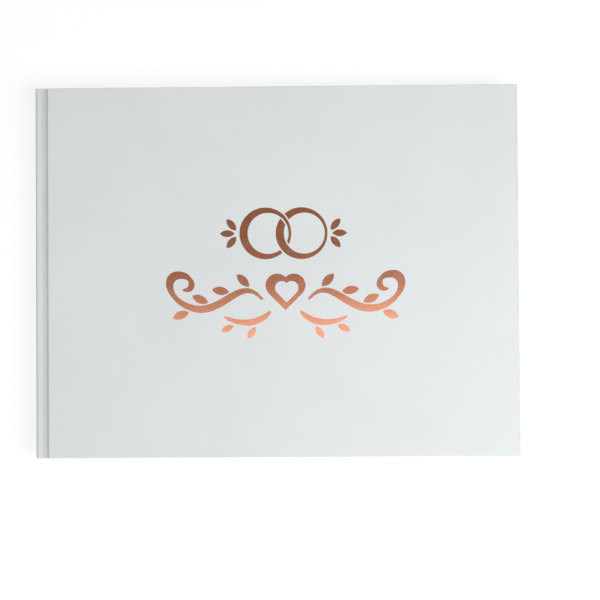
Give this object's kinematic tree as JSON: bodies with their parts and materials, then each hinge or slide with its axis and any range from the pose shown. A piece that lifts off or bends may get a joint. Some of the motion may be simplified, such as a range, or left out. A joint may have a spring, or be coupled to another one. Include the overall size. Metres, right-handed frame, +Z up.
{
  "type": "wedding guest book",
  "caption": "Landscape hardback guest book: sewn paper block in a white laminated case with a French groove, rose-gold foil rings and flourish, covers that open",
  "frame": {"origin": "on the table, under the middle of the closed book lying on its back cover", "axes": "+X from the spine to the fore-edge, +Y towards the head of the pages, +Z up through the front cover"},
  "size_m": [0.28, 0.215, 0.0177],
  "materials": {
    "greyboard": "dense grey bookbinder's board, matte",
    "white_laminate": "white printed paper with a matte film laminate, smooth",
    "rose_gold_foil": "hot-stamped rose-gold metallic foil, satin to glossy",
    "endpaper": "smooth heavy white endpaper",
    "page_paper": "uncoated off-white writing paper",
    "linen_thread": "waxed white linen thread",
    "binding_glue": "dried flexible binding glue, cream",
    "mull_cloth": "open-weave starched cotton mull",
    "lining_paper": "kraft lining paper",
    "band_cord": "woven white cotton band with a corded bead"
  },
  "bodies": {
    "text_block": {"spine_board": "greyboard", "spine_wrap": "white_laminate", "front_joint": "white_laminate", "back_joint": "white_laminate", "front_endpaper_fold": "endpaper", "back_endpaper_fold": "endpaper", "section_1_folds": "page_paper", "section_2": "page_paper", "section_3": "page_paper", "section_4": "page_paper", "section_5": "page_paper", "section_6": "page_paper", "sewing_thread": "linen_thread", "spine_glue": "binding_glue", "spine_mull": "mull_cloth", "spine_lining": "lining_paper", "headband": "band_cord", "tailband": "band_cord", "front_mull_hinge": "mull_cloth", "back_mull_hinge": "mull_cloth"},
    "front_cover": {"front_board": "greyboard", "front_wrap": "white_laminate", "foil_rings": "rose_gold_foil", "foil_flourish": "rose_gold_foil", "front_pastedown": "endpaper", "front_mull_flange": "mull_cloth"},
    "back_cover": {"back_board": "greyboard", "back_wrap": "white_laminate", "back_pastedown": "endpaper", "back_mull_flange": "mull_cloth"},
    "front_flyleaf": {"front_flyleaf": "endpaper"},
    "leaf_1": {"leaf_1": "page_paper"},
    "leaf_2": {"leaf_2": "page_paper"},
    "leaf_3": {"leaf_3": "page_paper"},
    "leaf_4": {"leaf_4": "page_paper"},
    "leaf_5": {"leaf_5": "page_paper"},
    "leaf_6": {"leaf_6": "page_paper"},
    "leaf_7": {"leaf_7": "page_paper"},
    "leaf_8": {"leaf_8": "page_paper"},
    "back_flyleaf": {"back_flyleaf": "endpaper"}
  },
  "joints": [
    {"name": "front_cover_open", "type": "hinge", "parent": "text_block", "child": "front_cover", "pos_m": [-0.1365, 0, 0.0157], "axis": [0, -1, 0], "range_deg": [0, 179.9], "deforming": ["front_joint", "front_mull_hinge", "front_endpaper_fold", "section_1_folds"]},
    {"name": "back_cover_open", "type": "hinge", "parent": "text_block", "child": "back_cover", "pos_m": [-0.1365, 0, 0.0019], "axis": [0, 1, 0], "range_deg": [0, 179.9], "deforming": ["back_joint", "back_mull_hinge", "back_endpaper_fold"]},
    {"name": "front_flyleaf_turn", "type": "hinge", "parent": "text_block", "child": "front_flyleaf", "pos_m": [-0.1365, 0, 0.0157], "axis": [0, -1, 0], "range_deg": [0, 178.6]},
    {"name": "leaf_1_turn", "type": "hinge", "parent": "text_block", "child": "leaf_1", "pos_m": [-0.1365, 0, 0.0157], "axis": [0, -1, 0], "range_deg": [0, 176.8]},
    {"name": "leaf_2_turn", "type": "hinge", "parent": "text_block", "child": "leaf_2", "pos_m": [-0.1365, 0, 0.0157], "axis": [0, -1, 0], "range_deg": [0, 174.6]},
    {"name": "leaf_3_turn", "type": "hinge", "parent": "text_block", "child": "leaf_3", "pos_m": [-0.1365, 0, 0.0157], "axis": [0, -1, 0], "range_deg": [0, 172.3]},
    {"name": "leaf_4_turn", "type": "hinge", "parent": "text_block", "child": "leaf_4", "pos_m": [-0.1365, 0, 0.0157], "axis": [0, -1, 0], "range_deg": [0, 169.6]},
    {"name": "leaf_5_turn", "type": "hinge", "parent": "text_block", "child": "leaf_5", "pos_m": [-0.1365, 0, 0.0157], "axis": [0, -1, 0], "range_deg": [0, 11.3]},
    {"name": "leaf_6_turn", "type": "hinge", "parent": "text_block", "child": "leaf_6", "pos_m": [-0.1365, 0, 0.0157], "axis": [0, -1, 0], "range_deg": [0, 8.1]},
    {"name": "leaf_7_turn", "type": "hinge", "parent": "text_block", "child": "leaf_7", "pos_m": [-0.1365, 0, 0.0157], "axis": [0, -1, 0], "range_deg": [0, 5.2]},
    {"name": "leaf_8_turn", "type": "hinge", "parent": "text_block", "child": "leaf_8", "pos_m": [-0.1365, 0, 0.0157], "axis": [0, -1, 0], "range_deg": [0, 2.7]},
    {"name": "back_flyleaf_turn", "type": "hinge", "parent": "text_block", "child": "back_flyleaf", "pos_m": [-0.1365, 0, 0.0019], "axis": [0, 1, 0], "range_deg": [0, 178.6]}
  ],
  "couplings": [
    {"joint": "front_flyleaf_turn", "follows": "front_cover_open", "ratio": 0.99},
    {"joint": "leaf_1_turn", "follows": "front_cover_open", "ratio": 0.98},
    {"joint": "leaf_2_turn", "follows": "front_cover_open", "ratio": 0.968},
    {"joint": "leaf_3_turn", "follows": "front_cover_open", "ratio": 0.955},
    {"joint": "leaf_4_turn", "follows": "front_cover_open", "ratio": 0.94},
    {"joint": "leaf_5_turn", "follows": "front_cover_open", "ratio": 0.06},
    {"joint": "leaf_6_turn", "follows": "front_cover_open", "ratio": 0.042},
    {"joint": "leaf_7_turn", "follows": "front_cover_open", "ratio": 0.026},
    {"joint": "leaf_8_turn", "follows": "front_cover_open", "ratio": 0.012},
    {"joint": "back_flyleaf_turn", "follows": "back_cover_open", "ratio": 0.99}
  ]
}
